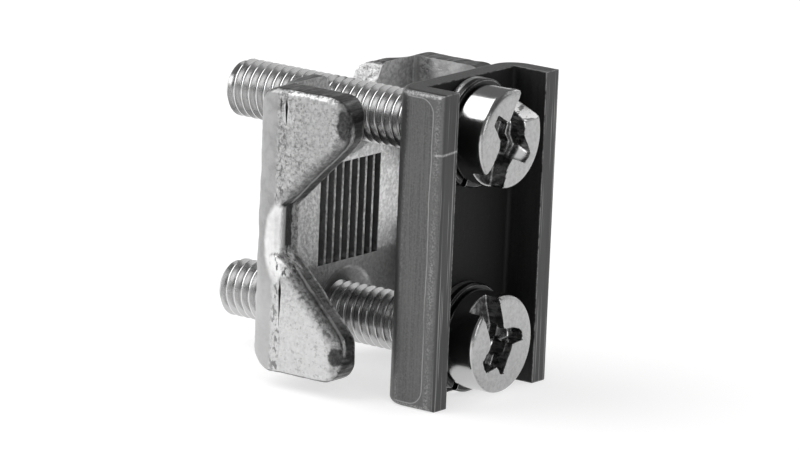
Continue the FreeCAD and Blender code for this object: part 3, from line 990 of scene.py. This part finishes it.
def make_screw_steel(groups):
    """Bright plated steel of the screws, with painted shade in the recesses of their heads."""
    material, tree = new_metal("screw_steel")
    x, y, z = place_in_mm(tree)
    faces_x = face_direction(tree)[0]
    wear = use_group(tree, groups["wear"], Width=0.16 * MM, Breakup=1200.0, Amount=0.8)
    speckle = use_group(tree, groups["speckle"], Scale=1900.0)
    from_axis = minus(tree, height_from_middle(tree, z), screw_offset)
    radius = distance(tree, y, from_axis)

    # Satin head, and a thread with a painted highlight on its crests and painted shade in its root
    color = blend(tree, spread(tree, speckle["Mottle"], 0.3, 0.7), 0.37, 0.46)
    on_thread = spread(tree, x, under_head_x + 0.1, under_head_x - 0.1)
    color = blend(tree, on_thread, color, 0.6)
    # Painted shade in the thread root
    root = product(tree, on_thread, spread(tree, radius, 3.5, 3.2))
    color = coat(tree, color, root, 0.5, 0.3)
    # Painted highlight on the thread crests
    crest = product(tree, on_thread,
                    spread(tree, radius, crest_radius - 0.045, crest_radius - 0.01))
    color = blend(tree, crest, color, 0.75)
    on_side = product(tree, spread(tree, x, under_head_x - 0.1, under_head_x + 0.1),
                      spread(tree, radius, head_radius - 0.1, head_radius - 0.05))
    color = blend(tree, on_side, color, 0.62)

    # Recess: painted shade below the face, darker deep down, with a torn grain along it
    recess_floor_x = head_face_x - cross_depth
    in_recess = product(tree, spread(tree, x, recess_floor_x - 0.5, recess_floor_x - 0.2),
                        spread(tree, x, head_face_x - 0.12, head_face_x - 0.3),
                        spread(tree, radius, head_radius - 0.1, head_radius - 0.25))
    tears = spread(tree, noise_value(tree, 1.8, 3.0, 0.6, (0.35, 1.0, 1.0)), 0.4, 0.62)
    recess_color = blend(tree, tears, 0.14, 0.45)
    deep_color = blend(tree, tears, 0.1, 0.26)
    # Painted shade, darker deep down in the recess
    recess_color = blend(tree, spread(tree, x, 21.6, 20.2), recess_color, deep_color)
    color = blend(tree, in_recess, color, recess_color)

    # Lip that a slipping driver has pressed in and scored, with a painted highlight streaked by the
    # scores
    pressed = product(tree, band(tree, faces_x, 0.4, 0.68, 0.05), spread(tree, z, 36.2, 36.5),
                      spread(tree, y, 0.0, 0.5), spread(tree, x, 17.9, 18.2))
    scores = noise_value(tree, 2.2, 2.0, 0.5, (0.4, 0.25, 1.0))
    lip_highlight = blend(tree, spread(tree, scores, 0.36, 0.46), 0.25, 1.0)
    color = blend(tree, pressed, color, lip_highlight)

    # Sloping end of the wing, bright where it catches the light
    angle = math.radians(facet_turn)
    wing_z = minus(tree, z, screw_heights["upper_screw"])
    along_wing = nudge(tree, product(tree, wing_z, math.sin(angle)), y, math.cos(angle))
    facet = product(tree, in_recess, spread(tree, along_wing, 3.8, 4.0),
                    band(tree, faces_x, 0.45, 0.85, 0.08), spread(tree, y, 2.0, 2.3))
    color = blend(tree, facet, color, 0.95)

    # Wear, the roughness and the relief
    color = blend(tree, wear["Mask"], color, 0.8)
    rough = spread(tree, speckle["Clouds"], 0.3, 0.7, 0.2, 0.3)
    rough = nudge(tree, rough, on_side, -0.09)
    fine_scratches = noise_value(tree, 5.0, 2.0, 0.5, (1.0, 0.08, 1.0))
    relief = nudge(tree, speckle["Mottle"], fine_scratches, 0.4)
    finish_metal(tree, color, rough, relief, 0.25, 0.02)
    return material


def make_spring_steel(groups):
    """Plated steel of the split washers, with a painted highlight on the side by the web and
    painted shade beside the heads.
    """
    material, tree = new_metal("spring_steel")
    x = place_in_mm(tree)[0]
    speckle = use_group(tree, groups["speckle"], Scale=2000.0)
    wear = use_group(tree, groups["wear"], Width=0.25 * MM, Breakup=500.0, Amount=0.9)
    # Painted highlight on the side by the web, painted shade nearly black beside the heads
    bright = blend(tree, spread(tree, speckle["Mottle"], 0.3, 0.7), 0.6, 0.9)
    color = blend(tree, spread(tree, x, 16.3, 16.6), bright, 0.045)
    color = blend(tree, wear["Mask"], color, 0.6)
    rough = spread(tree, speckle["Clouds"], 0.3, 0.7, 0.25, 0.4)
    finish_metal(tree, color, rough, speckle["Mottle"], 0.3, 0.02)
    return material


def paint(piece, material):
    """Give a piece one material on all its faces."""
    if piece.material_slots:
        for holder in piece.material_slots:
            holder.material = material
    else:
        piece.data.materials.append(material)


def seen_rays(tree):
    """Give 1 for rays that show the background: camera, mirror and glass rays."""
    path = add_node(tree, "ShaderNodeLightPath").outputs
    seen = calculate(tree, "MAXIMUM", path["Is Camera Ray"], path["Is Glossy Ray"])
    return calculate(tree, "MAXIMUM", seen, path["Is Transmission Ray"])


def make_pale_floor():
    """Make a pale matt finish that shows as white to the rays that see the background."""
    material = bpy.data.materials.new("pale_floor")
    material.use_nodes = True
    tree = material.node_tree
    tree.nodes.clear()
    matt = add_node(tree, "ShaderNodeBsdfDiffuse", {"Color": (0.5, 0.5, 0.5, 1.0)})
    seen = product(tree, seen_rays(tree), 0.62)
    glow = add_node(tree, "ShaderNodeEmission", {"Strength": seen})
    both = add_node(tree, "ShaderNodeAddShader",
                    {0: matt.outputs["BSDF"], 1: glow.outputs["Emission"]})
    add_node(tree, "ShaderNodeOutputMaterial", {"Surface": both.outputs["Shader"]})
    return material


def build_stage():
    """Lay the pale floor, and light the clamp softly."""
    bm = bmesh.new()
    bmesh.ops.create_circle(bm, cap_ends=True, segments=64, radius=3.0)
    floor = object_from(bm, "floor")
    paint(floor, make_pale_floor())

    # The world is white round the horizon and dim above it, where it is seen or mirrored
    world = bpy.data.worlds.new("studio")
    world.use_nodes = True
    tree = world.node_tree
    tree.nodes.clear()
    direction = add_node(tree, "ShaderNodeTexCoord").outputs["Generated"]
    upward = add_node(tree, "ShaderNodeSeparateXYZ", {0: direction}).outputs["Z"]
    seen_sky = spread(tree, upward, 0.185, 0.215, 1.0, 0.2)
    strength = spread(tree, seen_rays(tree), 0.0, 1.0, 0.55, seen_sky)
    light = add_node(tree, "ShaderNodeBackground", {"Strength": strength})
    add_node(tree, "ShaderNodeOutputWorld", {"Surface": light.outputs["Background"]})
    bpy.context.scene.world = world

    clamp_middle = Vector((0.0, 0.0, 0.02))
    for name, place, size, power in (
        ("key_softbox", (-0.36, -0.2, 0.4), 0.6, 2.5),
        ("side_softbox", (0.5, -0.3, 0.3), 0.3, 0.7),
        ("back_softbox", (0.18, 0.57, 0.4), 0.6, 0.72),
    ):
        data = bpy.data.lights.new(name, "AREA")
        data.size = size
        data.energy = power
        lamp = add_object(name, data)
        turn = (Vector(place) - clamp_middle).to_track_quat("Z", "Y").to_matrix().to_4x4()
        lamp.matrix_world = Matrix.Translation(Vector(place)) @ turn

    bpy.context.scene.view_settings.view_transform = "Standard"


place_camera()
build_stage()

groups = {
    "wear": build_edge_wear(),
    "corner_shade": build_crevice_shade(),
    "grain": build_grain(),
    "speckle": build_speckle(),
}
dark_steel = make_dark_steel(groups)
zinc_plate = make_zinc_plate(groups)
screw_steel = make_screw_steel(groups)
spring_steel = make_spring_steel(groups)

paint(make_screw("upper_screw", upper_recess, upper_cross_turn), screw_steel)
paint(make_screw("lower_screw", lower_recess, lower_cross_turn), screw_steel)
paint(make_jaw(), zinc_plate)
paint(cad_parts["channel_bracket"], dark_steel)
for washer in ("upper_spring_washer", "lower_spring_washer"):
    paint(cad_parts[washer], spring_steel)
